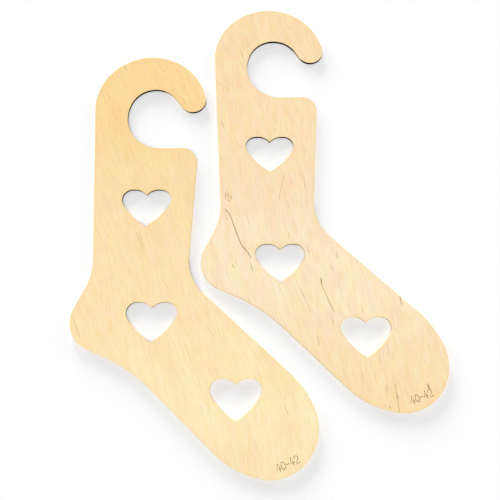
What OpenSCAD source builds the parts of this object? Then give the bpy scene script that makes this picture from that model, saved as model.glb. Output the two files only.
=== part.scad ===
// A pair of flat plywood sock stretchers, lying side by side as they would dry on a table.
// Each one is cut from a three-ply sheet: a sock-shaped board with an open hook on top
// and three hearts cut through it so that air reaches the wool.
// Millimetres. +X is right and +Y is up towards the hooks, seen from above. +Z is up.
// The origin is under the middle of the pair, on the table.

/* [Sheet] */
// Thickness of the whole plywood sheet
sheet_t = 3; // [2:0.5:6]
// Thickness of each of the two outer veneers
veneer_t = 0.9; // [0.5:0.1:0.9]

/* [Leg] */
// Width at the ankle, the narrowest place
ankle_w = 94; // [84:1:100]
// Height of the cuff edge above the ankle
cuff_h = 119.5; // [112:0.5:122]
// Distance from the leg's middle line to the front edge at the cuff
cuff_front = 52.5; // [49:0.5:56]
// Radius of the cuff corner
cuff_r = 15.5; // [10:0.5:16]
// Height of the ankle's narrowest place in front, above the ankle line
ankle_front_h = 2; // [-4:0.5:8]
// Depth of the ankle's narrowest place at the back, below the ankle line
ankle_back_d = 1; // [-4:0.5:1.5]

/* [Foot] */
// Length from the back of the heel to the front of the toe
foot_l = 263; // [245:1:280]
// Slope of the foot below the level, in degrees
foot_slope = 31; // [28:0.5:33]
// Radius of the heel
heel_r = 28.5; // [26:0.5:29.5]
// How far the heel stands out behind the ankle
heel_out = 18.5; // [16:0.5:20]
// How far the heel's middle lies below the ankle
heel_drop = 59; // [58:0.5:64]
// Radius of the toe
toe_r = 45; // [40:0.5:50]
// Radius of the sole where it rolls up to the toe
ball_r = 81.5; // [70:0.5:95]
// Radius of the instep where it rolls down to the toe
instep_r = 85.5; // [75:0.5:95]
// Where the toe's round rolls into the sole, in degrees
ball_angle = -97.5; // [-102:0.5:-93]
// Where the toe's round rolls into the instep, in degrees
instep_angle = 20; // [14:0.5:26]
// Radius of the hollow under the arch
arch_r = 149; // [110:1:190]
// Slope of the sole between the heel and the arch, in degrees
heel_slope = 23.5; // [20:0.5:27]
// Length of the straight between the heel and the arch
heel_flat = 20.5; // [10:0.5:30]
// Radius of the hollow above the heel
ankle_back_r = 60.5; // [50:0.5:61]
// Radius of the hollow where the leg turns into the instep
ankle_front_r = 47; // [38:0.5:60]

/* [Hook] */
// Outer radius of the hook
hook_r = 58; // [57.5:0.5:62]
// Height of the hook's middle above the ankle
hook_h = 165.5; // [163:0.5:170]
// How far the hook's middle lies in front of the leg's middle line
hook_front = 3; // [0:0.5:5]
// Radius of the hook's rounded tip
tip_r = 13.5; // [9:0.5:13.5]
// Where the tip begins round the hook, in degrees above the level
tip_angle = 10; // [8:0.5:20]
// Radius of the eye's upper half
eye_r = 27.5; // [24:0.5:28]
// How far the eye's middle lies in front of the hook's middle
eye_front = 5; // [2:0.5:5.5]
// How far the eye's middle lies below the hook's middle
eye_drop = 7.5; // [7:0.5:9]
// Radius of the eye's lower back, where it opens out towards the cuff
eye_low_r = 34.5; // [32:0.5:36]
// Where the eye's upper half turns into its lower back, in degrees
eye_low_angle = 143; // [135:1:150]

/* [Hearts] */
// Width of a heart
heart_w = 49.5; // [44:0.5:54]
// Height of a heart from its lobes to its point
heart_h = 38.5; // [34:0.5:42]
// Radius of a heart's two lobes at their sides, where the heart is widest
lobe_r = 10.5; // [9:0.5:12]
// Distance between the tops of the two lobes
lobe_apart = 24; // [22:0.5:28]
// Depth of the notch between the lobes
notch_d = 5.5; // [3:0.5:7]
// Radius of the bowed sides that run down to the point
side_r = 70; // [50:1:100]
// How far the leg heart's lobes lie below the cuff edge
leg_heart_drop = 45.5; // [20:0.5:60]
// How far the heel heart lies in front of the heel's middle
heel_heart_front = 49.5; // [35:0.5:70]
// How far the heel heart's lobes lie above the heel's middle
heel_heart_up = 18.5; // [5:0.5:30]
// How far the toe heart lies behind the toe's middle
toe_heart_back = 31.5; // [10:0.5:60]
// How far the toe heart's lobes lie above the toe's middle
toe_heart_up = 44; // [30:0.5:55]

/* [Pair] */
// How far the right stretcher lies to the right of the left one
pair_x = 124.5; // [124:0.5:160]
// How far the right stretcher lies above the left one
pair_y = 58; // [40:0.5:80]

/* [Hidden] */

face_tint = [0.98, 0.89, 0.70];
core_tint = [0.45, 0.30, 0.18];
back_tint = [0.95, 0.85, 0.66];

// Every outline is a belt run round a list of circles [x, y, radius, side].
// Side is 1 where the shape fills the circle and -1 where the circle is cut out of it.
OUTSIDE = 1;
CUT_OUT = -1;

// The straights lie this far inside the circles, so that each arc crosses them cleanly.
lap = 0.005;
// Two circles that nest are set this much apart, which leaves a short straight between them.
nest_gap = 0.4;
// Straights of this length lead the arcs of a heart into its point, its notch and its lobes.
heart_flat = 2;
// A belt turns round its circles in straight chords of at most this angle, under the arcs.
chord_angle = 60;
// The band that picks out an arc lies between these parts of its radius, either side of the rim.
band_inner = 0.8;
band_outer = 1.3;

// Where the straight from circle a to circle b leaves a, as an angle on the side of the straight.
function lean(a, b) =
  let (run = [b.x - a.x, b.y - a.y])
  let (turn = (a[3] * belt_radius(a) - b[3] * belt_radius(b)) / norm(run))
  atan2(run.y, run.x) - acos(turn);
function belt_radius(c) = max(0, c[2] - lap);
function arrive(c, i) = lean(c[(i + len(c) - 1) % len(c)], c[i]);
function leave(c, i) = lean(c[i], c[(i + 1) % len(c)]);
function sweep(c, i) =
  let (turn = c[i][3] * (leave(c, i) - arrive(c, i)))
  c[i][3] * ((turn + 720) % 360);
function rim(c, radius, angle) = [c.x, c.y] + c[3] * radius * [cos(angle), sin(angle)];
function steps(from, turn) =
  let (count = max(1, ceil(abs(turn) / chord_angle)))
  [for (k = [0:count]) from + turn * k / count];
function belt(c) = [
  for (i = [0:len(c) - 1])
    for (angle = steps(arrive(c, i), sweep(c, i)))
      rim(c[i], belt_radius(c[i]), angle)
];

// Circle of the given radius nested with circle c, which it meets at the given angle.
function nested(c, radius, angle) =
  let (apart = radius > c[2] ? c[2] - radius - nest_gap : c[2] - radius + nest_gap)
  [c.x + apart * cos(angle), c.y + apart * sin(angle), radius, c[3]];

// The place a_far from circle a's middle and b_far from circle b's, left of the way from a to b.
function meet(a, a_far, b, b_far) =
  let (run = [b.x - a.x, b.y - a.y])
  let (along = (run * run + a_far * a_far - b_far * b_far) / (2 * norm(run)))
  let (off = sqrt(a_far * a_far - along * along))
  [a.x, a.y] + (along * run + off * [-run.y, run.x]) / norm(run);

function mirrored(c) = [-c.x, c.y, c[2], c[3]];

// The part of circle i under its arc, carried a little past the straights on both sides.
module arc_slice(c, i) {
  radius = c[i][2];
  past = 2 * acos(belt_radius(c[i]) / radius) * c[i][3];
  out = steps(arrive(c, i) - past, sweep(c, i) + 2 * past);
  back = [for (k = [len(out) - 1:-1:0]) out[k]];
  intersection() {
    translate([c[i].x, c[i].y])
      circle(radius, $fn = 96);
    polygon([
      for (angle = out) rim(c[i], band_outer * radius, angle),
      for (angle = back) rim(c[i], band_inner * radius, angle)
    ]);
  }
}

module belt_shape(c) {
  difference() {
    union() {
      polygon(belt(c));
      for (i = [0:len(c) - 1])
        if (c[i][3] == OUTSIDE && c[i][2] > 0) arc_slice(c, i);
    }
    for (i = [0:len(c) - 1])
      if (c[i][3] == CUT_OUT && c[i][2] > 0) arc_slice(c, i);
  }
}

// The sock outline, counter-clockwise from the hook. The leg's middle line is x = 0,
// and y = 0 is the ankle.
hook = [hook_front, hook_h, hook_r, OUTSIDE];
tip = nested(hook, tip_r, tip_angle);
eye = [hook.x + eye_front, hook.y - eye_drop, eye_r, CUT_OUT];
eye_low = nested(eye, eye_low_r, eye_low_angle);
cuff = [cuff_front - cuff_r, cuff_h - cuff_r, cuff_r, OUTSIDE];
ankle_front = [ankle_w / 2 + ankle_front_r, ankle_front_h, ankle_front_r, CUT_OUT];
ankle_back = [-ankle_w / 2 - ankle_back_r, -ankle_back_d, ankle_back_r, CUT_OUT];
heel = [heel_r - heel_out - ankle_w / 2, -heel_drop, heel_r, OUTSIDE];
heel_to_toe = foot_l - heel_r - toe_r;
toe = [
  heel.x + heel_to_toe * cos(foot_slope),
  heel.y - heel_to_toe * sin(foot_slope),
  toe_r,
  OUTSIDE
];
ball = nested(toe, ball_r, ball_angle);
instep = nested(toe, instep_r, instep_angle);
arch = [
  heel.x + heel_flat * cos(heel_slope) - (heel_r + arch_r) * sin(heel_slope),
  heel.y - heel_flat * sin(heel_slope) - (heel_r + arch_r) * cos(heel_slope),
  arch_r,
  CUT_OUT
];
outline = [
  hook, ankle_back, heel, arch, ball, toe, instep, ankle_front, cuff, eye_low, eye, tip
];

// A heart about the middle of its lobe tops, with its point downwards.
// The crown is the round top of a lobe, from the notch to the lobe's tighter side.
point = [0, -heart_h, 0, OUTSIDE];
notch = [0, -notch_d, 0, CUT_OUT];
crown_x = lobe_apart / 2;
crown_r = (crown_x * crown_x + notch_d * notch_d - heart_flat * heart_flat) / (2 * notch_d);
crown = [crown_x, -crown_r, crown_r, OUTSIDE];
crown_angle = acos((heart_w / 2 - lobe_r - crown_x) / (crown_r - lobe_r + nest_gap));
lobe = nested(crown, lobe_r, crown_angle);
flank_at = meet(point, norm([side_r, heart_flat]), lobe, norm([side_r - lobe_r, heart_flat]));
flank = [flank_at.x, flank_at.y, side_r, OUTSIDE];
heart = [point, flank, lobe, crown, notch, mirrored(crown), mirrored(lobe), mirrored(flank)];
heart_tops = [
  [hook.x, cuff_h - leg_heart_drop],
  [heel.x + heel_heart_front, heel.y + heel_heart_up],
  [toe.x - toe_heart_back, toe.y + toe_heart_up]
];

// Places of the two stretchers about the origin.
pair_left = heel.x - heel.z;
pair_right = toe.x + toe.z + pair_x;
pair_low = toe.y - toe.z;
pair_high = hook.y + hook.z + pair_y;
left_at = [-(pair_left + pair_right) / 2, -(pair_low + pair_high) / 2, 0];
right_at = left_at + [pair_x, pair_y, 0];
core_t = sheet_t - 2 * veneer_t;

module blank() {
  difference() {
    belt_shape(outline);
    for (top = heart_tops)
      translate(top)
        belt_shape(heart);
  }
}

module veneer(at, base, thickness) {
  translate(at + [0, 0, base])
    linear_extrude(thickness)
      blank();
}

module left_back_veneer() {
  color(back_tint)
    veneer(left_at, 0, veneer_t);
}

module left_core_veneer() {
  color(core_tint)
    veneer(left_at, veneer_t, core_t);
}

module left_face_veneer() {
  color(face_tint)
    veneer(left_at, veneer_t + core_t, veneer_t);
}

module right_back_veneer() {
  color(back_tint)
    veneer(right_at, 0, veneer_t);
}

module right_core_veneer() {
  color(core_tint)
    veneer(right_at, veneer_t, core_t);
}

module right_face_veneer() {
  color(face_tint)
    veneer(right_at, veneer_t + core_t, veneer_t);
}

left_back_veneer();
left_core_veneer();
left_face_veneer();
right_back_veneer();
right_core_veneer();
right_face_veneer();
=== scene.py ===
# %% [markdown]
# # A pair of plywood sock stretchers
# Two flat boards of three-ply birch lie side by side on a white table. A laser cut each one out of a sheet: a
# sock with an open hook on top, three hearts through it, and its size burnt in near the toe.
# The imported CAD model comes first. It is the fixed frame, and every piece below is fitted to it.

# %% Load the frame
import math

import bmesh
import bpy
import numpy as np
from mathutils import Matrix, Vector


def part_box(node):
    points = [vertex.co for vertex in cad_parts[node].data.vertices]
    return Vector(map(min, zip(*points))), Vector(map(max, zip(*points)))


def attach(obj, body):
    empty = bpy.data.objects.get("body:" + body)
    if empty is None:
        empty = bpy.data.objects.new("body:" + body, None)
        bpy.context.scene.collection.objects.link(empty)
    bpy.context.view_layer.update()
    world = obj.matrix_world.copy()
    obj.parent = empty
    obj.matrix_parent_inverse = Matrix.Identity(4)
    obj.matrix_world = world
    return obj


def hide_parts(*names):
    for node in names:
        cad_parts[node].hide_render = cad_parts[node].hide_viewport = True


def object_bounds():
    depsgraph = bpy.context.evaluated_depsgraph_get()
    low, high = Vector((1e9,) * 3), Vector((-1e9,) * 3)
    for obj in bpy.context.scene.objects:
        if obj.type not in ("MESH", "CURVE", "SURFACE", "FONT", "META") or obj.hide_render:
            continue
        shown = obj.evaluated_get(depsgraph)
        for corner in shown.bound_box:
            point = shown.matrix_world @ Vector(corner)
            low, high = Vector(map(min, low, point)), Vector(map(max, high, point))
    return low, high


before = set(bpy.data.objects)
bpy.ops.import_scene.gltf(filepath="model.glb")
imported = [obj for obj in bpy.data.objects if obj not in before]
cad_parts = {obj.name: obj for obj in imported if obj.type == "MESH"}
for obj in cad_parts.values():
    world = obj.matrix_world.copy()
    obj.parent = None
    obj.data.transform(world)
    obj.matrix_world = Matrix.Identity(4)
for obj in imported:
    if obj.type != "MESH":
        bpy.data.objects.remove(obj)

MM = 0.001
scene = bpy.context.scene
cad_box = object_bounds()
print("CAD box in mm:", [[round(v / MM, 2) for v in corner] for corner in cad_box])

# %% [markdown]
# ## Camera
# The picture was taken from nearly straight above, with the camera leaning a little from the toe side. A camera
# could be turned by eye until it fits. Here its place is written down instead: the point it stands over, its
# height, and the slope of its view.

# %% Set up the camera
PICTURE = 500
MIDDLE = (PICTURE - 1) / 2
FOCAL_PIXELS = 560
VIEW_SLOPE = 0.2386
SIDE_SLOPE = -0.0048
SENSOR = 36.0
camera_place = Vector((-10.07, -156.95, 540.6)) * MM

down = Vector((SIDE_SLOPE, VIEW_SLOPE, 1.0)).normalized()
right = (Vector((1.0, 0.0, 0.0)) - down.x * down).normalized()
near = down.cross(right)
camera_turn = Matrix((
    (right.x, -right.y, -right.z),
    (-near.x, near.y, near.z),
    (-down.x, down.y, down.z),
))

lens = bpy.data.cameras.new("camera")
lens.sensor_width = SENSOR
lens.lens = SENSOR * FOCAL_PIXELS / PICTURE
lens.clip_start = 10 * MM
camera = bpy.data.objects.new("camera", lens)
camera.matrix_world = Matrix.Translation(camera_place) @ camera_turn.to_4x4()
scene.collection.objects.link(camera)
scene.camera = camera
print("the camera leans", round(math.degrees(math.acos(down.z)), 1), "degrees")

# %% [markdown]
# The same numbers turn a point of the picture into a place on a board: a ray from the camera through that point is
# followed down to the boards' upper face. Later this puts each mark of the wood where it belongs.

# %% From the picture to the board
def on_board(across, along):
    """The place on the boards' upper face that a point of the picture shows."""
    ray = camera_turn @ Vector(((across - MIDDLE) / FOCAL_PIXELS, (MIDDLE - along) / FOCAL_PIXELS, -1.0))
    reach = (cad_box[1].z - camera_place.z) / ray.z
    return camera_place + reach * ray


print("the picture's middle lies at", [round(v / MM, 1) for v in on_board(MIDDLE, MIDDLE)], "mm")

# %% [markdown]
# ## Helpers for node trees
# Materials and Geometry Nodes are both trees of nodes. Writing each node out takes many lines, so one small
# helper adds a node, sets its options, and fills or links its inputs. A second does a sum, a third empties the
# tree that a new material comes with, and a fourth turns a colour off the screen into light.

# %% Node helpers
def add(tree, kind, inputs=None, **options):
    """Adds a node. An input's value is either a plain value or a socket to link from."""
    made = tree.nodes.new(kind)
    for option, value in options.items():
        setattr(made, option, value)
    for socket, value in (inputs or {}).items():
        if isinstance(value, bpy.types.NodeSocket):
            tree.links.new(value, made.inputs[socket])
        else:
            made.inputs[socket].default_value = value
    return made


def math_node(tree, operation, a, b=0.0, clamp=False):
    """The result of a sum on one or two values."""
    return add(tree, "ShaderNodeMath", {0: a, 1: b}, operation=operation, use_clamp=clamp).outputs[0]


def cleared(owner):
    """The node tree of a new material or world, emptied."""
    owner.use_nodes = True
    owner.node_tree.nodes.clear()
    return owner.node_tree


def paint(red, green, blue):
    """A colour as it is read off a screen, turned into the linear light that a shader wants."""
    def light(level):
        part = level / 255
        return part / 12.92 if part <= 0.04045 else ((part + 0.055) / 1.055) ** 2.4
    return (light(red), light(green), light(blue), 1.0)


print("birch on screen", (251, 226, 177), "is", [round(v, 3) for v in paint(251, 226, 177)], "in light")

# %% [markdown]
# ## Table
# The boards lie on a white table. It is a plain square, a hair below the boards, because two surfaces at one height
# would flicker. Its colour is nearly white, and a little of it shows by itself to the camera, so that the open table
# is white while the boards' shadow stays.

# %% Table
TABLE_HALF = 4.0
TABLE_DROP = 0.05 * MM
TABLE_WHITE = (0.92, 0.92, 0.92, 1.0)
OWN_LIGHT = 0.067


def shown(tree):
    """1 for what the camera sees, also by way of a reflection or through glass, and 0 for light on other things."""
    rays = add(tree, "ShaderNodeLightPath").outputs
    seen = math_node(tree, "MAXIMUM", rays["Is Camera Ray"], rays["Is Glossy Ray"])
    return math_node(tree, "MAXIMUM", seen, rays["Is Transmission Ray"])


table_mesh = bpy.data.meshes.new("table")
table_mesh.from_pydata(
    [(x * TABLE_HALF, y * TABLE_HALF, -TABLE_DROP) for x, y in ((-1, -1), (1, -1), (1, 1), (-1, 1))],
    [], [(0, 1, 2, 3)])
table = bpy.data.objects.new("table", table_mesh)
scene.collection.objects.link(table)

table_white = bpy.data.materials.new("table_white")
tree = cleared(table_white)
glow = add(tree, "ShaderNodeEmission", {"Strength": math_node(tree, "MULTIPLY", shown(tree), OWN_LIGHT)})
matt = add(tree, "ShaderNodeBsdfDiffuse", {"Color": TABLE_WHITE})
both = add(tree, "ShaderNodeAddShader", {0: matt.outputs[0], 1: glow.outputs[0]})
add(tree, "ShaderNodeOutputMaterial", {"Surface": both.outputs[0]})
table_mesh.materials.append(table_white)
print("table of", 2 * TABLE_HALF, "m")

# %% [markdown]
# ## Light
# A thin board throws a long soft shadow only when some of the light comes in low. So a broad light overhead lights
# the wood, and three low ones draw the shadow: from behind the hooks, from the left and, weaker, from the right.
# Together with the room they give about 1 on the table, so that a colour shows as it is written.

# %% Lights
def soft_light(name, level, spread, height, from_left):
    """A broad light, far away. Spread, height and the turn to the left from straight behind are in degrees."""
    data = bpy.data.lights.new(name, "SUN")
    data.energy = level
    data.angle = math.radians(spread)
    lamp = bpy.data.objects.new(name, data)
    up, aside = math.radians(height), math.radians(from_left)
    towards = Vector((-math.sin(aside) * math.cos(up), math.cos(aside) * math.cos(up), math.sin(up)))
    lamp.rotation_euler = towards.to_track_quat("Z", "Y").to_euler()
    scene.collection.objects.link(lamp)
    print(name, "gives", round(level * math.sin(up) / math.pi, 3), "on the table")


soft_light("overhead_light", level=1.652, spread=60, height=75, from_left=185)
soft_light("low_light_behind", level=2.90, spread=12, height=7.5, from_left=14)
soft_light("low_light_left", level=1.82, spread=14, height=7.5, from_left=44)
soft_light("low_light_right", level=0.91, spread=14, height=7.5, from_left=-55)

# %% [markdown]
# A pale room lights everything weakly from all round. A board takes that light only from the table close beside it.
# Where the camera looks past the table, it sees plain white instead.

# %% Room
ROOM = {"Color": (0.972, 0.984, 1.0, 1.0), "Strength": 0.28}
WHITE = {"Color": (1.0, 1.0, 1.0, 1.0), "Strength": 1.0}
world = bpy.data.worlds.new("pale_room")
tree = cleared(world)
fill, white = (add(tree, "ShaderNodeBackground", values).outputs[0] for values in (ROOM, WHITE))
mix = add(tree, "ShaderNodeMixShader", {0: shown(tree), 1: fill, 2: white})
add(tree, "ShaderNodeOutputWorld", {"Surface": mix.outputs[0]})
scene.world = world
scene.view_settings.view_transform = "Standard"
print("pale_room gives", ROOM["Strength"], "on the table")

# %% [markdown]
# ## The cut line
# Everything on a board follows the line that the laser ran along: once round the sock, and once round each
# heart. It could be drawn again here, but then it might drift from the CAD model. It is read off the CAD face
# instead: an edge that belongs to only one upper triangle lies on the cut line.

# %% Read the cut line
SIDES = ("left", "right")
FACES_UP = 0.9
SAME_PLACE = 0.001 * MM
HEART_LIMIT = 100 * MM


def cut_loops(node):
    """The closed lines round the upper face of a CAD node, with the wood on their left: outline, then hearts."""
    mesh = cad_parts[node].data
    points = np.array([v.co for v in mesh.vertices])
    keys = [tuple(key) for key in np.round(points / SAME_PLACE).astype(int)]
    place = {key: point[:2] for key, point in zip(keys, points)}
    edges = set()
    for face in mesh.polygons:
        if face.normal.z < FACES_UP:
            continue
        corners = [keys[v] for v in face.vertices]
        for a, b in zip(corners, corners[1:] + corners[:1]):
            if (b, a) in edges:
                edges.remove((b, a))
            else:
                edges.add((a, b))
    follows = dict(sorted(edges))
    loops = []
    while follows:
        start, after = follows.popitem()
        loop = [start]
        while after != start:
            loop.append(after)
            after = follows.pop(after)
        loops.append(np.array([place[key] for key in loop]))
    return sorted(loops, key=lambda loop: (np.ptp(loop[:, 1]) < HEART_LIMIT, -loop[:, 1].mean()))


raw_loops = {side: cut_loops(side + "_face_veneer") for side in SIDES}
print("points on the cut lines:", {side: [len(loop) for loop in loops] for side, loops in raw_loops.items()})

# %% [markdown]
# A CAD mesh shows each arc as a few straight chords, and in a close look that gives a cornered edge. The chords
# of one arc are all as long as each other, and the turn between two of them says how round the arc is. So each
# chord can be given its bulge back. Long straights get extra points too, because marks along the edge are
# stored on the points.

# %% Round the cut line
SAME_LENGTH = 0.01
ARC_TURN = math.radians(25)
STRAIGHT_TURN = 1e-4
FINE_TURN = math.radians(3)
FINE_STEP = 5 * MM


def chords(loop):
    """The chords of a closed line, their lengths, and the turn into each."""
    step = np.roll(loop, -1, axis=0) - loop
    heading = np.arctan2(step[:, 1], step[:, 0])
    turn = (heading - np.roll(heading, 1) + math.pi) % (2 * math.pi) - math.pi
    return step, np.hypot(step[:, 0], step[:, 1]), turn


def rounded(loop):
    """The same closed line with its chords bent back to arcs and more points, and the largest bulge of a chord."""
    step, length, turn = chords(loop)
    fine, bulge = [], 0.0
    for i in range(len(loop)):
        after = (i + 1) % len(loop)
        half = 0.0
        for other, vertex in ((i - 1, i), (after, after)):
            if abs(length[i] - length[other]) < SAME_LENGTH * length[i] and abs(turn[vertex]) < ARC_TURN:
                half = turn[vertex] / 2
        along = step[i] / length[i]
        outward = np.array([along[1], -along[0]])
        count = max(1, math.ceil(2 * abs(half) / FINE_TURN), math.ceil(length[i] / FINE_STEP))
        for t in np.arange(count) / count:
            if abs(half) < STRAIGHT_TURN:
                fine.append(loop[i] + t * step[i])
            else:
                angle = half * (2 * t - 1)
                forward = 0.5 + math.sin(angle) / (2 * math.sin(half))
                aside = (math.cos(angle) - math.cos(half)) / (2 * math.sin(half))
                bulge = max(bulge, abs(aside) * length[i])
                fine.append(loop[i] + length[i] * (forward * along + aside * outward))
    return np.array(fine), bulge


board_loops = {}
for side, loops in raw_loops.items():
    done = [rounded(loop) for loop in loops]
    board_loops[side] = [loop for loop, bulge in done]
    print(side, "board has", sum(len(loop) for loop in board_loops[side]), "points, largest bulge",
          round(max(bulge for loop, bulge in done) / MM, 3), "mm")

# %% [markdown]
# A second line runs 7 mm in from the cut. The wood beside the cut is tanned by the heat, and the tan needs points
# at a known distance to fade out between. Each point of the cut line is moved straight in. Where two parts of
# the line come close, as on both sides of a heart's notch, the moved points overrun each other. Those lie too
# near the cut and are left out.

# %% Draw the rim line
RIM = 7 * MM
TOO_NEAR = 0.99 * RIM
BATCH = 500


def to_cut(places, loops):
    """How far each place is from the nearest cut line, and which of the line's points begins that stretch."""
    start = np.concatenate(loops)
    step = np.concatenate([np.roll(loop, -1, axis=0) for loop in loops]) - start
    far, which = np.empty(len(places)), np.empty(len(places), dtype=int)
    for first in range(0, len(places), BATCH):
        some = slice(first, first + BATCH)
        offset = places[some, None] - start[None]
        t = np.clip((offset * step).sum(2) / (step ** 2).sum(1), 0, 1)
        gap = np.linalg.norm(offset - t[:, :, None] * step, axis=2)
        far[some], which[some] = gap.min(axis=1), gap.argmin(axis=1)
    return far, which


def inward_of(loop):
    """At each point of a closed line, the direction straight into the wood."""
    ahead = np.roll(loop, -1, axis=0) - np.roll(loop, 1, axis=0)
    return np.stack([-ahead[:, 1], ahead[:, 0]], axis=1) / np.hypot(ahead[:, 0], ahead[:, 1])[:, None]


def rim_line(loops):
    """The lines that run RIM in from the cut lines."""
    moved = [loop + RIM * inward_of(loop) for loop in loops]
    return [line[to_cut(line, loops)[0] > TOO_NEAR] for line in moved]


rim_loops = {side: rim_line(loops) for side, loops in board_loops.items()}
print("points left out of the rim lines:", {side: sum(map(len, board_loops[side])) - sum(map(len, rim_loops[side]))
                                            for side in SIDES})

# %% [markdown]
# ## How dark the laser burnt, and where the walls are painted as lit
# A laser runs fast along a straight and slows down in a tight curve. Where it is slow, and above all in a
# hollow, where the heat can't get away, it chars the wood nearly black. Along the sole and the leg the cut is
# only toasted. The bend of the cut line says which is which, so each point of the line gets a burn from 0 to 1.
# Walls that face one side of each line are kept pale: painted light, as if they were lit and the rest in shade.
# Which side that is, and how deep the char is, are listed for the outline, leg heart, heel heart and toe heart in
# turn.

# %% Burn along the cut line
DOWN_LEFT, UP_LEFT = (-0.90, -0.44), (-0.90, 0.44)
# Painted light: walls that face the listed side of each line are kept pale, as if they were lit.
PAINTED_LIT_SIDE = {"left": [DOWN_LEFT] * 4, "right": [UP_LEFT, UP_LEFT, DOWN_LEFT, DOWN_LEFT]}
CHAR_DEPTH = {"left": (1.0, 1.0, 0.6, 0.0), "right": (1.0, 0.75, 0.65, 0.0)}
HEAT_REACH = 4 * MM
# From where to where the char sets in: bends in radians to the metre,
# and how squarely a wall faces the side painted as lit.
HOLLOW_BEND = (14.0, 26.0)
CORNER_BEND = (42.0, 66.0)
PAINTED_LIT_FACING = (0.62, 0.90)


def smooth(value, low, high):
    """0 below low, 1 above high, and a soft step in between."""
    t = np.clip((value - low) / (high - low), 0, 1)
    return t * t * (3 - 2 * t)


def char_and_painted_light_along(loop, painted_lit_direction, depth):
    """Char at each point of a closed line, from its bend over the nearest few mm; walls painted as lit stay pale."""
    step, length, turn = chords(loop)
    apart = np.linalg.norm(loop[:, None] - loop[None], axis=2)
    near_by = np.exp(-(apart / HEAT_REACH) ** 2)
    share = (length + np.roll(length, 1)) / 2
    bend = (near_by @ turn) / (near_by @ share)
    # Painted light: walls facing the lit side are kept pale, and the others are left to the char.
    painted_lit = smooth(-inward_of(loop) @ np.array(painted_lit_direction), *PAINTED_LIT_FACING)
    slow = np.maximum(smooth(-bend, *HOLLOW_BEND), smooth(bend, *CORNER_BEND))
    char_and_painted_light = depth * slow * (1 - painted_lit)
    return (near_by @ (share * char_and_painted_light)) / (near_by @ share)


# Each board's char along its cut lines, with the painted light on walls of the lit side.
board_char_and_painted_light = {side: [char_and_painted_light_along(*each) for each in zip(loops, PAINTED_LIT_SIDE[side], CHAR_DEPTH[side])]
              for side, loops in board_loops.items()}
print("charred part of the cut:", {side: round(float(np.mean(np.concatenate(char_and_painted_light))), 2)
                                   for side, char_and_painted_light in board_char_and_painted_light.items()})

# %% [markdown]
# ## Birch grain
# Birch veneer is pale, with fine fibres along the grain, a faint broad figure, short pores, and patches that are a
# little yellower or rosier. Both faces of both boards have them, so they are one node group, with the lean of the
# grain and a seed as inputs. The group first turns the surface to the lean of the grain, and lets the grain wander
# a little from side to side.

# %% Grain node group
# Waves to the metre across the grain and along it, detail, roughness, and the noise values that become 0 and 1.
GRAIN = {
    "Fibre": (900, 60, 3, 0.6, 0.32, 0.68),
    "Figure": (75, 4, 2, 0.5, 0.3, 0.7),
    "Pore": (1500, 70, 1, 0.5, 0.66, 0.76),
    "Honey": (150, 60, 3, 0.6, 0.3, 0.7),
    "Rose": (85, 48, 3, 0.6, 0.3, 0.7),
}
WANDER_WAVES = 9.0
WANDER_REACH = 30 * MM


def group(name, inputs, outputs):
    """An empty shader node group with the given sockets, and its two end nodes."""
    tree = bpy.data.node_groups.new(name, "ShaderNodeTree")
    for label, kind in inputs:
        tree.interface.new_socket(label, in_out="INPUT", socket_type="NodeSocket" + kind)
    for label in outputs:
        tree.interface.new_socket(label, in_out="OUTPUT", socket_type="NodeSocketFloat")
    return tree, add(tree, "NodeGroupInput").outputs, add(tree, "NodeGroupOutput").inputs


grain, given, result = group("birch_grain", [("Vector", "Vector"), ("Lean", "Float"), ("Seed", "Float")], GRAIN)
leant = add(grain, "ShaderNodeVectorRotate", {"Vector": given["Vector"], "Angle": given["Lean"]},
            rotation_type="Z_AXIS").outputs[0]
wander = add(grain, "ShaderNodeTexNoise", {
    "Vector": leant, "W": given["Seed"], "Scale": WANDER_WAVES, "Detail": 1.0}, noise_dimensions="4D")
parts = add(grain, "ShaderNodeSeparateXYZ", {0: leant}).outputs
across = math_node(grain, "ADD", parts["X"], math_node(grain, "MULTIPLY", wander.outputs["Fac"], WANDER_REACH))
print("the grain wanders by up to", round(WANDER_REACH / MM), "mm")

# %% [markdown]
# Everything in the grain is then noise that is squeezed across the grain and drawn out along it. Five of them with
# different sizes make the five outputs.

# %% Noise along the grain
def drawn_out(across_scale, along_scale, detail, roughness, low, high):
    """Noise with so many waves to the metre across the grain and along it, spread from low and high to 0 and 1."""
    squeezed = add(grain, "ShaderNodeCombineXYZ", {
        "X": math_node(grain, "MULTIPLY", across, across_scale),
        "Y": math_node(grain, "MULTIPLY", parts["Y"], along_scale)})
    noise = add(grain, "ShaderNodeTexNoise", {
        "Vector": squeezed.outputs[0], "W": given["Seed"], "Scale": 1.0, "Detail": detail,
        "Roughness": roughness}, noise_dimensions="4D")
    spread = add(grain, "ShaderNodeMapRange", {0: noise.outputs["Fac"], 1: low, 2: high})
    return spread.outputs[0]


for label, sizes in GRAIN.items():
    grain.links.new(drawn_out(*sizes), result[label])
print("grain group has", len(grain.nodes), "nodes")

# %% [markdown]
# ## Marks in the wood
# Real veneer has marks of its own: thin dark streaks, a hair crack, a reddish fleck. Each is a short line that
# thins out at both ends. One group measures how far a point lies from such a line and turns that into a mask.
# It is placed once for each mark, with the two ends of the line as inputs. A board has dozens of marks, so the
# group uses no clamp options: the renderer works those out last, and would run short of room for so many.

# %% Mark node group
THIN_ENDS = 0.6
mark, given, result = group(
    "wood_mark",
    [("Vector", "Vector"), ("From", "Vector"), ("To", "Vector"), ("Width", "Float"), ("Depth", "Float"),
     ("Taper", "Float")],
    ["Mask"])


def vector_node(operation, a, b, output=0):
    """The result of a sum on two vectors."""
    return add(mark, "ShaderNodeVectorMath", {0: a, 1: b}, operation=operation).outputs[output]


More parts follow.
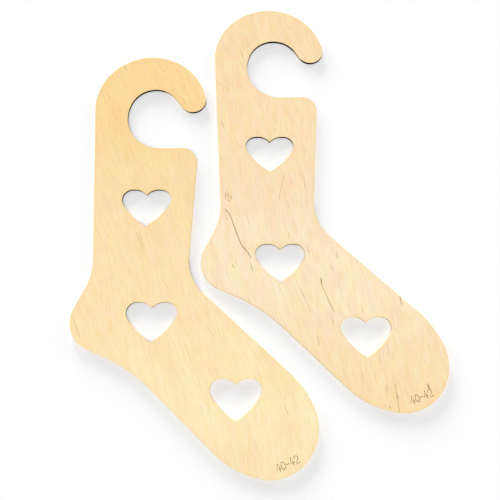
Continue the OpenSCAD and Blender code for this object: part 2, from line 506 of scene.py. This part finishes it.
line = vector_node("SUBTRACT", given["To"], given["From"])
offset = vector_node("SUBTRACT", given["Vector"], given["From"])
along = math_node(mark, "DIVIDE", vector_node("DOT_PRODUCT", offset, line, "Value"),
                  vector_node("DOT_PRODUCT", line, line, "Value"))
along = math_node(mark, "MINIMUM", math_node(mark, "MAXIMUM", along, 0.0), 1.0)
foot = add(mark, "ShaderNodeVectorMath", {0: line, "Scale": along}, operation="SCALE").outputs[0]
gap = vector_node("DISTANCE", offset, foot, "Value")
# How much thinner the mark is: THIN_ENDS at both ends, and nothing halfway between them.
halfway = math_node(mark, "MULTIPLY", along, math_node(mark, "SUBTRACT", 1.0, along))
thinner = add(mark, "ShaderNodeMath", {0: halfway, 1: -4 * THIN_ENDS, 2: THIN_ENDS}, operation="MULTIPLY_ADD")
swell = math_node(mark, "SUBTRACT", 1.0, math_node(mark, "MULTIPLY", given["Taper"], thinner.outputs[0]))
reach = math_node(mark, "MULTIPLY", given["Width"], swell)
inside = add(mark, "ShaderNodeMapRange", {0: gap, 2: reach, 3: 1.0, 4: 0.0}, interpolation_type="SMOOTHSTEP",
             clamp=False)
mark.links.new(math_node(mark, "MULTIPLY", inside.outputs[0], given["Depth"]), result["Mask"])
print("mark group has", len(mark.nodes), "nodes")

# %% [markdown]
# The marks are listed by name, as they show in the picture: the points that a mark runs through, how wide it is
# in millimetres, and how deep its colour is. Flecks are brown, knots are reddish, and cracks are dark.

# %% List the marks
FLECKS = {
    "left": {
        "hook outer": ([(106, 91), (110, 100)], 0.9, 0.40),
        "tip first": ([(181.5, 96), (185, 103)], 0.8, 0.60),
        "tip second": ([(186, 97), (189, 103)], 0.7, 0.35),
        "hook lower": ([(107, 119), (109, 130)], 0.7, 0.22),
        "ankle first": ([(134, 229), (142, 248)], 0.8, 0.45),
        "ankle second": ([(138, 231), (143.5, 248)], 0.8, 0.40),
        "ankle third": ([(152, 262), (158, 275)], 0.7, 0.25),
        "instep first": ([(161, 277), (168, 289)], 0.8, 0.35),
        "instep second": ([(205, 322), (212, 335)], 0.9, 0.10),
        "instep third": ([(250, 345), (260, 365)], 0.8, 0.22),
        "arch first": ([(184.5, 343), (191, 362)], 1.0, 0.28),
        "arch second": ([(181.7, 366.7), (186.7, 380)], 0.9, 0.28),
        "arch third": ([(200, 405), (202.5, 413)], 0.9, 0.15),
        "sole": ([(163, 385), (170, 405)], 0.9, 0.12),
        "over the toe heart": ([(215, 368), (218, 377)], 0.9, 0.12),
        "toe first": ([(283.5, 403), (287.5, 414)], 0.9, 0.42),
        "toe second": ([(253, 438), (263, 463)], 0.9, 0.20),
    },
    "right": {
        "hook first": ([(240, 50), (244, 61)], 0.7, 0.50),
        "hook rim": ([(216.5, 81), (220, 84.5)], 0.9, 0.35),
        "hook rim second": ([(224.5, 85.5), (229, 89.5)], 1.0, 0.32),
        "hook crown": ([(287, 26), (289, 29)], 1.3, 0.35),
        "hook side": ([(312, 40), (316, 50)], 0.7, 0.30),
        "leg rim": ([(220.5, 119), (223.5, 127)], 0.9, 0.60),
        "leg heart": ([(274, 127), (276, 131)], 1.0, 0.50),
        "leg middle": ([(305, 146), (304, 156)], 0.8, 0.20),
        "ankle first": ([(245, 208), (249, 226)], 0.8, 0.28),
        "ankle second": ([(277, 200), (275.5, 207)], 0.9, 0.20),
        "ankle third": ([(287, 201), (288.5, 208)], 0.8, 0.40),
        "over the heel heart": ([(288, 232), (289, 239)], 0.9, 0.32),
        "heel dot": ([(232, 264), (233.5, 267.5)], 1.1, 0.75),
        "instep first": ([(335.5, 251), (337.5, 258)], 1.1, 0.60),
        "instep second": ([(330, 264), (333, 270)], 0.9, 0.42),
        "instep third": ([(351, 300), (353.5, 306)], 0.9, 0.16),
        "under the heel heart": ([(292, 272), (305, 300)], 0.7, 0.27),
        "arch first": ([(300, 287), (310.5, 312)], 0.7, 0.40),
        "arch second": ([(317, 334), (319, 346)], 0.9, 0.65),
        "arch third": ([(335, 335), (340, 352)], 0.8, 0.10),
        "over the toe heart": ([(361, 304), (363.5, 313)], 1.0, 0.40),
        "toe heart first": ([(386, 342), (390, 357)], 0.8, 0.32),
        "toe heart second": ([(378, 347), (380.5, 364)], 0.9, 0.32),
        "ball first": ([(360.8, 370), (363.2, 378.5)], 1.0, 0.40),
        "ball second": ([(363, 378.5), (364.2, 384)], 0.9, 0.28),
        "ball third": ([(374.8, 371.5), (375.4, 378.5)], 0.9, 0.20),
        "ball fourth": ([(375.8, 380.5), (376.3, 384)], 0.9, 0.14),
        "toe first": ([(385, 383.5), (386.8, 392)], 1.0, 0.35),
        "toe second": ([(384.7, 402.5), (384.9, 408)], 0.8, 0.24),
        "toe third": ([(389, 405.5), (390, 408.5)], 1.1, 0.70),
    },
}
KNOTS = {
    "left": {"heel rim": ([(72, 316), (79.5, 337)], 1.5, 0.30)},
    "right": {
        "ankle blush": ([(226, 188), (229, 200)], 4.0, 0.18),
        "ankle left": ([(225.3, 191.5), (225.2, 198.5)], 1.2, 0.95),
        "ankle middle": ([(228, 193.5), (228.1, 197)], 1.2, 1.00),
        "ankle right": ([(230.4, 194.5), (230.6, 199)], 1.0, 0.90),
        "ankle lower": ([(226.8, 199), (230.2, 201)], 1.2, 0.70),
        "crack blush": ([(225.5, 214.5), (226.3, 219.5)], 1.6, 0.25),
        "heel": ([(243, 265.5), (244, 268)], 1.1, 0.25),
        "heel heart": ([(306, 246), (308.5, 252)], 1.3, 0.40),
    },
}
CRACKS = {
    "left": {"hook": ([(123, 65), (126.5, 70)], 0.9, 0.55)},
    "right": {
        "heel": ([(224.5, 208.5), (229.2, 213.6), (230.6, 217), (234, 227), (241, 245), (246, 250), (250.5, 257)],
                 0.80, 0.85),
        "heel end": ([(250, 262), (252.5, 272)], 0.8, 0.60),
        "ankle first": ([(284, 172), (281, 186), (278, 199)], 0.6, 0.32),
        "ankle second": ([(303, 175), (305.5, 192)], 0.6, 0.38),
        "instep head": ([(320.6, 277), (320.9, 284)], 1.1, 0.90),
        "instep": ([(320.9, 283), (326, 295), (333.5, 311)], 0.7, 0.62),
        "instep end": ([(331.5, 313), (333, 327)], 0.6, 0.27),
        "toe rim": ([(399.5, 296), (401.5, 306)], 1.0, 0.62),
        "toe": ([(394.5, 383.5), (396.9, 398), (399.5, 414)], 0.75, 0.42),
        "toe dot": ([(396.4, 394), (397, 399.5)], 1.1, 0.62),
        "size": ([(427, 383), (429, 389)], 1.1, 0.88),
    },
}
print("marks:", {side: len(FLECKS[side]) + len(KNOTS[side]) + len(CRACKS[side]) for side in SIDES})

# %% [markdown]
# A material takes the deepest of its marks at each point. A mark through several points is drawn in stretches, which
# thin out less than a mark that stands alone, so that they join.

# %% Marks to a mask
ALONE, JOINED = 1.0, 0.25


def mark_mask(tree, place, listed):
    """The deepest of all listed marks at each point of a material's surface."""
    deepest = None
    for points, width, depth in listed.values():
        for start, end in zip(points, points[1:]):
            one = add(tree, "ShaderNodeGroup", {
                "Vector": place, "From": on_board(*start), "To": on_board(*end), "Width": width * MM,
                "Depth": depth, "Taper": ALONE if len(points) == 2 else JOINED}, node_tree=mark)
            mask = one.outputs["Mask"]
            deepest = mask if deepest is None else math_node(tree, "MAXIMUM", deepest, mask)
    return deepest


print("stretches in the longest crack:", len(CRACKS["right"]["heel"][0]) - 1)

# %% [markdown]
# ## Heat-tanned rim
# Beside the cut the heat turns the birch a little warmer. The distance of each point from the cut line is stored
# on the mesh as an attribute called rim, and the group turns it into a mask with a ragged edge.

# %% Tan node group
RAGGED_WAVES = 160.0
tan, given, result = group("heat_tan", [("Vector", "Vector"), ("Reach", "Float")], ["Mask"])
rim = add(tan, "ShaderNodeAttribute", attribute_name="rim")
ragged = add(tan, "ShaderNodeTexNoise", {"Vector": given["Vector"], "Scale": RAGGED_WAVES, "Detail": 3.0})
# The noise stretches the reach to between half and one and a half.
stretch = add(tan, "ShaderNodeMapRange", {0: ragged.outputs["Fac"], 1: 0.25, 2: 0.75, 3: 0.5, 4: 1.5})
edge = math_node(tan, "MULTIPLY", given["Reach"], stretch.outputs[0])
fade = add(tan, "ShaderNodeMapRange", {0: rim.outputs["Fac"], 2: edge, 3: 1.0, 4: 0.0},
           interpolation_type="SMOOTHSTEP")
tan.links.new(fade.outputs[0], result["Mask"])
print("tan group has", len(tan.nodes), "nodes")

# %% [markdown]
# ## Colour of the wood
# Wood takes colour like a stain: whatever lies below still shows through. So colours are multiplied rather than
# painted over. One helper lays a tint where a mask is 1, one swings a colour lighter and darker with a noise, and
# one shades the colour along the board.

# %% Tint helpers
def tinted(tree, base, tint, mask):
    """The base colour, multiplied by a tint where the mask is 1."""
    mix = add(tree, "ShaderNodeMix", {0: mask, 6: base, 7: tint}, data_type="RGBA", blend_type="MULTIPLY")
    return mix.outputs[2]


def varied(tree, base, swing, value):
    """The base colour, lightened by the swing where the value is 0 and darkened by it where the value is 1."""
    light, dark = ([1 + sign * part for part in swing] + [1.0] for sign in (1, -1))
    tint = add(tree, "ShaderNodeMix", {0: value, 6: light, 7: dark}, data_type="RGBA")
    return tinted(tree, base, tint.outputs[2], 1.0)


def shaded(tree, place, tones):
    """A colour along the board. Tones are pairs of a height in mm and a screen colour, from the toe to the hook."""
    low, high = tones[0][0] * MM, tones[-1][0] * MM
    up = add(tree, "ShaderNodeSeparateXYZ", {0: place}).outputs["Y"]
    share = add(tree, "ShaderNodeMapRange", {0: up, 1: low, 2: high})
    ramp = add(tree, "ShaderNodeValToRGB", {0: share.outputs[0]})
    while len(ramp.color_ramp.elements) < len(tones):
        ramp.color_ramp.elements.new(0.5)
    for stop, (height, colour) in zip(ramp.color_ramp.elements, tones):
        stop.position = (height * MM - low) / (high - low)
        stop.color = paint(*colour)
    return ramp.outputs["Color"]


FLECK_TINT = (0.54, 0.41, 0.25, 1.0)
KNOT_TINT = (0.66, 0.38, 0.22, 1.0)
CRACK_TINT = (0.20, 0.13, 0.02, 1.0)
print("light left by a fleck, a knot, a crack:", [tint[:3] for tint in (FLECK_TINT, KNOT_TINT, CRACK_TINT)])

# %% [markdown]
# ## Birch
# One function makes every birch surface. It shades the board, lays grain, pores, tan and marks over it in turn, and
# gives the fibres a little relief and a sheen that changes with them. Bare wood is dull, so it reflects little.

# %% Birch material
# How far each part of the grain swings red, green and blue.
GRAIN_SWING = {
    "Fibre": (0.025, 0.040, 0.072),
    "Figure": (0.008, 0.016, 0.030),
    "Honey": (0.000, 0.009, 0.066),
    "Rose": (-0.006, 0.032, 0.012),
}
PORE_TINT = (0.90, 0.82, 0.68, 1.0)
PORE_SINK = 1.5
MARK_BREAKS = (0.6, 1.3)
BIRCH_ROUGH = (0.70, 0.82)


def between(tree, value, low, high):
    """A value from 0 to 1, moved to between low and high."""
    return add(tree, "ShaderNodeMapRange", {0: value, 3: low, 4: high}).outputs[0]


def dull_finish(tree, colour, roughness, height, strength, relief, shine):
    """The end of a material's tree: a dull surface with a fine relief."""
    bump = add(tree, "ShaderNodeBump", {"Strength": strength, "Distance": relief, "Height": height})
    skin = add(tree, "ShaderNodeBsdfPrincipled", {
        "Base Color": colour, "Roughness": roughness, "Normal": bump.outputs[0], "Specular IOR Level": shine})
    add(tree, "ShaderNodeOutputMaterial", {"Surface": skin.outputs[0]})


def birch(name, tones, lean, seed, lively, marks, tan_reach, tan_tint):
    """Bare birch veneer, with the lean of its grain in degrees, and the reach of its tan in mm."""
    material = bpy.data.materials.new(name)
    tree = cleared(material)
    place = add(tree, "ShaderNodeTexCoord").outputs["Object"]
    wood = add(tree, "ShaderNodeGroup", {"Vector": place, "Lean": math.radians(-lean), "Seed": seed},
               node_tree=grain).outputs
    colour = shaded(tree, place, tones)
    for label, swing in GRAIN_SWING.items():
        colour = varied(tree, colour, [lively * share for share in swing], wood[label])
    colour = tinted(tree, colour, PORE_TINT, wood["Pore"])
    heat = add(tree, "ShaderNodeGroup", {"Vector": place, "Reach": tan_reach * MM}, node_tree=tan)
    colour = tinted(tree, colour, tan_tint, heat.outputs["Mask"])
    broken = between(tree, wood["Fibre"], *MARK_BREAKS)
    for tint, listed in marks:
        mask = math_node(tree, "MULTIPLY", mark_mask(tree, place, listed), broken)
        colour = tinted(tree, colour, tint, mask)
    height = math_node(tree, "SUBTRACT", wood["Fibre"], math_node(tree, "MULTIPLY", wood["Pore"], PORE_SINK))
    rough = between(tree, wood["Fibre"], *BIRCH_ROUGH)
    dull_finish(tree, colour, rough, height, strength=0.25, relief=0.04 * MM, shine=0.10)
    print(name, "has", len(tree.nodes), "nodes")
    return material


back_birch = birch("back_birch", [(-236, (246, 224, 180)), (0, (247, 222, 176)), (236, (246, 219, 170))],
                   lean=12, seed=11.0, lively=1.4, marks=[], tan_reach=5.0, tan_tint=(0.80, 0.66, 0.47, 1.0))

# %% [markdown]
# ## The face veneers
# The two boards come from different parts of a sheet. The left one is yellower and shades from honey at the hook
# to cream at the toe. The right one is paler and full of marks. The heat shows less on the face than on the back.

# %% Face materials
FACE_TAN = (0.990, 0.970, 0.930, 1.0)
FACE_TAN_REACH = 3.0


def face_marks(side):
    """The tint of each kind of mark, and where such marks lie on a board."""
    return [(FLECK_TINT, FLECKS[side]), (KNOT_TINT, KNOTS[side]), (CRACK_TINT, CRACKS[side])]


face_birch = {
    "left": birch("face_birch_left", [
        (-236, (250, 226, 179)), (-190, (252, 231, 185)), (-130, (251, 227, 177)), (-40, (250, 223, 174)),
        (50, (250, 220, 168)), (110, (250, 214, 154)), (180, (250, 215, 155))],
        lean=18, seed=1.7, lively=1.4, marks=face_marks("left"), tan_reach=FACE_TAN_REACH, tan_tint=FACE_TAN),
    "right": birch("face_birch_right", [
        (-170, (249, 221, 171)), (-130, (249, 223, 181)), (-75, (250, 228, 190)), (-10, (250, 227, 191)),
        (45, (248, 221, 182)), (110, (249, 222, 179)), (235, (249, 219, 172))],
        lean=13, seed=6.2, lively=1.7, marks=face_marks("right"), tan_reach=FACE_TAN_REACH, tan_tint=FACE_TAN),
}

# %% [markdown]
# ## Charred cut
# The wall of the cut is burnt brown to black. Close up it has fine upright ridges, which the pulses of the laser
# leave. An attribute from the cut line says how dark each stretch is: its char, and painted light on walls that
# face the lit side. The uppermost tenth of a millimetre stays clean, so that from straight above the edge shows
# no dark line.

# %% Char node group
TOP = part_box("left_face_veneer")[1].z
CLEAN_RIM = (0.04 * MM, 0.14 * MM)
RIDGE_WAVES = (1400.0, 1400.0, 90.0)
PATCH_WAVES = 70.0
char, given, result = group("laser_char", [("Vector", "Vector")], ["Char and painted light", "Patch", "Ridge"])
# The char from the cut line, with painted light: walls on the lit side stay pale.
char_and_painted_light = add(char, "ShaderNodeAttribute", attribute_name="char_and_painted_light").outputs["Fac"]
upright = add(char, "ShaderNodeVectorMath", {0: given["Vector"], 1: RIDGE_WAVES}, operation="MULTIPLY").outputs[0]
ridge = add(char, "ShaderNodeTexNoise", {"Vector": upright, "Scale": 1.0, "Detail": 2.0}).outputs["Fac"]
patch = add(char, "ShaderNodeTexNoise", {"Vector": given["Vector"], "Scale": PATCH_WAVES, "Detail": 2.0})
uneven = add(char, "ShaderNodeMapRange", {0: patch.outputs["Fac"], 1: 0.3, 2: 0.7, 3: 1.0, 4: 1.5}).outputs[0]
height = add(char, "ShaderNodeSeparateXYZ", {0: given["Vector"]}).outputs["Z"]
depth = math_node(char, "SUBTRACT", TOP, height)
below = add(char, "ShaderNodeMapRange", {0: depth, 1: CLEAN_RIM[0], 2: CLEAN_RIM[1]}).outputs[0]
level = math_node(char, "MULTIPLY", math_node(char, "MULTIPLY", char_and_painted_light, uneven), below, clamp=True)
spots = add(char, "ShaderNodeMapRange", {0: ridge, 1: 0.35, 2: 0.65}).outputs[0]
for label, value in (("Char and painted light", level), ("Patch", spots), ("Ridge", ridge)):
    char.links.new(value, result[label])
print("char group has", len(char.nodes), "nodes")

# %% [markdown]
# Three materials use the group: the cut of the outer veneers, the core's end grain, which burns darker, and the
# size near the toe. The size is burnt in dots, so the finer noise drives it instead of the burn along the cut.

# %% Charred materials
CHAR_ROUGH = (0.75, 0.95)


def charred(name, pale_end, black, driver="Char and painted light"):
    """The burnt wall of a cut, from its pale end to nearly black, driven by an output of the group."""
    material = bpy.data.materials.new(name)
    tree = cleared(material)
    place = add(tree, "ShaderNodeTexCoord").outputs["Object"]
    burnt = add(tree, "ShaderNodeGroup", {"Vector": place}, node_tree=char).outputs
    mix = add(tree, "ShaderNodeMix", {0: burnt[driver], 6: paint(*pale_end), 7: paint(*black)}, data_type="RGBA")
    rough = between(tree, burnt["Ridge"], *CHAR_ROUGH)
    dull_finish(tree, mix.outputs[2], rough, burnt["Ridge"], strength=0.5, relief=0.08 * MM, shine=0.05)
    print(name, "runs from", pale_end, "to", black)
    return material


# Painted light: the pale ends of the cut and the core are lighter than a toasted cut, close to the birch itself, so
# that walls in shade show no dark line.
cut_char = charred("cut_char", (247, 222, 172), (12, 9, 7))
core_char = charred("core_char", (234, 198, 144), (9, 7, 6))
size_char = charred("size_char", (158, 114, 66), (78, 56, 34), driver="Patch")

# %% [markdown]
# ## Shaping a veneer
# A veneer is a flat sheet that follows the cut line. It could be extruded, but then its edge would be razor
# sharp. So a Geometry Nodes tree sweeps a section along the cut line, up the wall and over a tiny worn edge. The
# tree reads its lines from curve objects, and has a named input for each line, size and material.

# %% Curves and trees
def cut_curve(name, lines, closed):
    """A curve object from arrays of points, for a tree to read. It is removed once the pieces are made."""
    data = bpy.data.curves.new(name, "CURVE")
    data.dimensions = "3D"
    for line in lines:
        spline = data.splines.new("POLY")
        spline.points.add(len(line) - 1)
        for point, place in zip(spline.points, line):
            point.co = (*place, *([0.0] * (3 - len(place))), 1.0)
        spline.use_cyclic_u = closed
    made = bpy.data.objects.new(name, data)
    scene.collection.objects.link(made)
    return made


def geometry_tree(name, inputs):
    """An empty Geometry Nodes tree with named inputs, and the identifier of each."""
    tree = bpy.data.node_groups.new(name, "GeometryNodeTree")
    tree.interface.new_socket("Geometry", in_out="OUTPUT", socket_type="NodeSocketGeometry")
    names = {label: tree.interface.new_socket(label, in_out="INPUT", socket_type="NodeSocket" + kind).identifier
             for label, kind in inputs}
    print(name, "has the inputs", ", ".join(names))
    return tree, names, add(tree, "NodeGroupInput").outputs, add(tree, "NodeGroupOutput").inputs


veneer_tree, veneer_inputs, given, result = geometry_tree("cut_veneer", [
    ("Geometry", "Geometry"), ("Cut line", "Object"), ("Rim line", "Object"), ("Section", "Object"),
    ("Upper", "Float"), ("Upper inset", "Float"), ("Lower", "Float"), ("Lower inset", "Float"),
    ("Face", "Material"), ("Cut", "Material")])

# %% [markdown]
# The sweep gives the wall. Fills close both faces, one between the cut and the rim line and one inside it. The wall's
# faces are marked before everything is welded together, so that the char finds them again. The lines, the section
# and the sizes are inputs, so the same tree makes all six veneers.

# %% Veneer tree
cut, rim, section = (add(veneer_tree, "GeometryNodeObjectInfo", {"Object": given[label]}).outputs["Geometry"]
                     for label in ("Cut line", "Rim line", "Section"))
cut = add(veneer_tree, "GeometryNodeSetCurveNormal", {"Curve": cut}, mode="Z_UP").outputs[0]
swept = add(veneer_tree, "GeometryNodeCurveToMesh", {"Curve": cut, "Profile Curve": section}).outputs[0]
normal = add(veneer_tree, "GeometryNodeInputNormal").outputs["Normal"]


def joined(*shapes):
    """Several shapes as one."""
    join = add(veneer_tree, "GeometryNodeJoinGeometry")
    for shape in shapes:
        veneer_tree.links.new(shape, join.inputs[0])
    return join.outputs[0]


def lifted(shape, height):
    """A shape, moved straight up."""
    by = add(veneer_tree, "ShaderNodeCombineXYZ", {"Z": height}).outputs[0]
    return add(veneer_tree, "GeometryNodeTransform", {"Geometry": shape, "Translation": by}).outputs[0]


def flat_face(inset):
    """A flat from the cut to the rim line, and another inside the rim line."""
    inward = add(veneer_tree, "ShaderNodeVectorMath", {0: normal, "Scale": inset}, operation="SCALE").outputs[0]
    edge = add(veneer_tree, "GeometryNodeSetPosition", {"Geometry": cut, "Offset": inward}).outputs[0]
    band = add(veneer_tree, "GeometryNodeFillCurve", {"Curve": joined(edge, rim)}).outputs[0]
    middle = add(veneer_tree, "GeometryNodeFillCurve", {"Curve": rim}).outputs[0]
    return joined(band, middle)


upper = lifted(flat_face(given["Upper inset"]), given["Upper"])
lower = lifted(flat_face(given["Lower inset"]), given["Lower"])
lower = add(veneer_tree, "GeometryNodeFlipFaces", {"Mesh": lower}).outputs[0]
wall = add(veneer_tree, "GeometryNodeCaptureAttribute", {"Geometry": lifted(swept, given["Upper"])}, domain="FACE")
wall.capture_items.new("BOOLEAN", "Is wall")
wall.inputs["Is wall"].default_value = True
shell = joined(wall.outputs["Geometry"], upper, lower)
welded = add(veneer_tree, "GeometryNodeMergeByDistance", {"Geometry": shell, "Distance": SAME_PLACE})
whole = add(veneer_tree, "GeometryNodeRealizeInstances", {"Geometry": welded.outputs[0]})
faced = add(veneer_tree, "GeometryNodeSetMaterial", {"Geometry": whole.outputs[0], "Material": given["Face"]})
burnt = add(veneer_tree, "GeometryNodeSetMaterial", {
    "Geometry": faced.outputs[0], "Selection": wall.outputs["Is wall"], "Material": given["Cut"]})
veneer_tree.links.new(burnt.outputs[0], result["Geometry"])
print("veneer tree has", len(veneer_tree.nodes), "nodes")

# %% [markdown]
# A modifier's result is live, and the pieces have to be plain meshes. So the tree runs once on an empty mesh, the
# evaluated result becomes a mesh of its own, and its normals are set to point outwards. Then each point is given
# its distance to the cut line and the char of the nearest point on that line, with its painted light.

# %% Make a veneer
def run_tree(name, start, tree, names, values):
    """Runs a Geometry Nodes tree on a mesh and returns the result as a plain mesh."""
    host = bpy.data.objects.new(name + "_host", start)
    scene.collection.objects.link(host)
    modifier = host.modifiers.new("tree", "NODES")
    modifier.node_group = tree
    for label, value in values.items():
        modifier[names[label]] = value
    mesh = bpy.data.meshes.new_from_object(host.evaluated_get(bpy.context.evaluated_depsgraph_get()))
    host.modifiers.remove(modifier)
    bpy.data.objects.remove(host)
    mesh.name = name
    shape = bmesh.new()
    shape.from_mesh(mesh)
    bmesh.ops.recalc_face_normals(shape, faces=shape.faces)
    shape.to_mesh(mesh)
    loose = sum(not edge.is_manifold for edge in shape.edges)
    shape.free()
    print(name, "has", len(mesh.polygons), "faces and", loose, "open edges")
    return mesh


def store_rim(mesh, loops, char_and_painted_light_lines):
    """Stores on each point its distance from the cut line, up to RIM, and the char of the cut there, with its painted
    light.
    """
    places = np.empty(len(mesh.vertices) * 3)
    mesh.vertices.foreach_get("co", places)
    far, which = to_cut(places.reshape(-1, 3)[:, :2], loops)
    for label, values in (("rim", np.minimum(far, RIM)), ("char_and_painted_light", np.concatenate(char_and_painted_light_lines)[which])):
        kept = mesh.attributes.new(label, "FLOAT", "POINT")
        kept.data.foreach_set("value", values.astype(np.float32))

# %% [markdown]
# ## The size, burnt in near the toe
# The size is plain digits in thin burnt lines. It could be a texture, but a groove is real geometry that stays
# sharp from any side. The digits are drawn as single strokes in a box one unit high. The two uprights of the size
# show in the picture, so their feet give its place, its slope and its height.

# %% Strokes of the digits
UPRIGHT = 0.46
SIZE = "40-42"
SIZE_FEET = {"left": ((280.3, 470.6), (293.6, 464.4)), "right": ((414.5, 402.8), (427.5, 397.4))}


def arc(middle_x, middle_y, wide, high, start, end, count):
    """Points along part of an oval, between two angles in degrees."""
    angles = np.radians(np.linspace(start, end, count))
    return [(middle_x + wide * math.cos(a), middle_y + high * math.sin(a)) for a in angles]


# The width that each digit takes up, and its strokes.
DIGITS = {
    "4": (0.76, [[(0.40, 1.0), (0.02, 0.30), (0.62, 0.30)], [(UPRIGHT, 0.58), (UPRIGHT, 0.0)]]),
    "0": (0.76, [arc(0.30, 0.50, 0.28, 0.50, -100, 250, 30)]),
    "-": (0.48, [[(0.03, 0.44), (0.33, 0.44)]]),
    "2": (0.70, [arc(0.29, 0.72, 0.26, 0.28, 175, -30, 16) + [(0.03, 0.0), (0.56, 0.0)]]),
}


def size_strokes(side):
    """The strokes of the size, laid on a board."""
    first, second = (on_board(*foot) for foot in SIZE_FEET[side])
    forward = (second - first) / sum(DIGITS[digit][0] for digit in SIZE[:3])
    upward = Vector((-forward.y, forward.x, 0.0))
    start = first - UPRIGHT * forward
    strokes, at = [], 0.0
    for digit in SIZE:
        advance, lines = DIGITS[digit]
        for line in lines:
            strokes.append([tuple(start + (at + x) * forward + y * upward) for x, y in line])
        at += advance
    print(side, "size is", round(forward.length / MM, 2), "mm high, in", len(strokes), "strokes")
    return strokes


board_size = {side: size_strokes(side) for side in SIDES}

# %% [markdown]
# The burnt lines have a darker dot wherever the laser started or stopped. A second tree sweeps a round cutter along
# the strokes, sets a bigger round at their ends, and cuts both out of the face. The cutters carry the char, which
# stays on the groove that they leave.

# %% Size tree
burn_tree, burn_inputs, given, result = geometry_tree("burnt_size", [
    ("Geometry", "Geometry"), ("Strokes", "Object"), ("Line", "Float"), ("Dot", "Float"), ("Char", "Material")])
strokes = add(burn_tree, "GeometryNodeObjectInfo", {"Object": given["Strokes"]}).outputs["Geometry"]
ring = add(burn_tree, "GeometryNodeCurvePrimitiveCircle", {"Resolution": 8, "Radius": given["Line"]})
lines = add(burn_tree, "GeometryNodeCurveToMesh", {
    "Curve": strokes, "Profile Curve": ring.outputs[0], "Fill Caps": True}).outputs[0]
ends = add(burn_tree, "GeometryNodeCurveEndpointSelection").outputs[0]
ball = add(burn_tree, "GeometryNodeMeshIcoSphere", {"Radius": given["Dot"], "Subdivisions": 2}).outputs[0]
dots = add(burn_tree, "GeometryNodeInstanceOnPoints", {"Points": strokes, "Selection": ends, "Instance": ball})
dots = add(burn_tree, "GeometryNodeRealizeInstances", {"Geometry": dots.outputs[0]}).outputs[0]
engraved = add(burn_tree, "GeometryNodeMeshBoolean", {"Mesh 1": given["Geometry"], "Self Intersection": True},
               operation="DIFFERENCE", solver="EXACT")
for cutter in (lines, dots):
    painted = add(burn_tree, "GeometryNodeSetMaterial", {"Geometry": cutter, "Material": given["Char"]})
    burn_tree.links.new(painted.outputs[0], engraved.inputs["Mesh 2"])
burn_tree.links.new(engraved.outputs["Mesh"], result["Geometry"])
print("size tree has", len(burn_tree.nodes), "nodes")

# %% [markdown]
# ## Edges of the plies
# Each board is three veneers: back, core and face. The outer edges of the face and the back are worn round by a
# tenth of a millimetre or so. The core's end grain burns back a hair further than the veneers beside it, and the
# ledge that this leaves is burnt like the wall.

# %% Edge sections
WORN = 0.15 * MM
BURNT_BACK = 0.06 * MM
LEDGE = 2 * BURNT_BACK


def worn_corner(depth, sign):
    """Points over a worn edge, as distances in from the cut and down from the upper face."""
    angles = np.radians((0, 30, 60, 90))
    return [(WORN * (1 - math.cos(a)), depth + sign * WORN * (1 - math.sin(a))) for a in angles]


def section_of(layer, thickness):
    """The section of a veneer's edge, and how far in its upper and lower faces begin."""
    if layer == "core":
        return [(BURNT_BACK, thickness), (BURNT_BACK, 0.0)], BURNT_BACK, BURNT_BACK
    if layer == "face":
        return [(LEDGE, thickness), (0.0, thickness)] + worn_corner(0.0, 1), WORN, LEDGE
    return worn_corner(thickness, -1)[::-1] + [(0.0, 0.0), (LEDGE, 0.0)], LEDGE, WORN


print("the core lies", round(BURNT_BACK / MM, 2), "mm back, and edges are worn by", round(WORN / MM, 2), "mm")

# %% [markdown]
# ## Building the boards
# One loop makes all six veneers. Their heights come from the CAD nodes. Walls are smooth to the eye, while the flat
# faces and the corners between them stay crisp. Each finished sheet takes the place of its CAD node and rides on
# its board.

# %% Build all six veneers
SIZE_LINE, SIZE_DOT = 0.24 * MM, 0.42 * MM
CRISP = math.radians(40)
FLAT = 0.99
for side in SIDES:
    line = cut_curve(side + "_cut", [loop[::-1] for loop in board_loops[side]], True)
    inner = cut_curve(side + "_rim", rim_loops[side], True)
    drawn = cut_curve(side + "_size", board_size[side], False)
    for layer, surface, wall_char in (
            ("back", back_birch, cut_char), ("core", core_char, core_char), ("face", face_birch[side], cut_char)):
        node, sheet = f"{side}_{layer}_veneer", f"{side}_{layer}_sheet"
        low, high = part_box(node)
        section, upper_inset, lower_inset = section_of(layer, high.z - low.z)
        edge = cut_curve("section", [section], False)
        mesh = run_tree(sheet, bpy.data.meshes.new("empty"), veneer_tree, veneer_inputs, {
            "Cut line": line, "Rim line": inner, "Section": edge, "Upper": high.z, "Upper inset": upper_inset,
            "Lower": low.z, "Lower inset": lower_inset, "Face": surface, "Cut": wall_char})
        if layer == "face":
            mesh = run_tree(sheet, mesh, burn_tree, burn_inputs, {
                "Strokes": drawn, "Line": SIZE_LINE, "Dot": SIZE_DOT, "Char": size_char})
        store_rim(mesh, board_loops[side], board_char_and_painted_light[side])
        mesh.set_sharp_from_angle(angle=CRISP)
        mesh.polygons.foreach_set("use_smooth", [abs(face.normal.z) < FLAT for face in mesh.polygons])
        piece = bpy.data.objects.new(sheet, mesh)
        scene.collection.objects.link(piece)
        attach(piece, side + "_blocker")
        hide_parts(node)
        bpy.data.objects.remove(edge)
    for helper in (line, inner, drawn):
        bpy.data.objects.remove(helper)
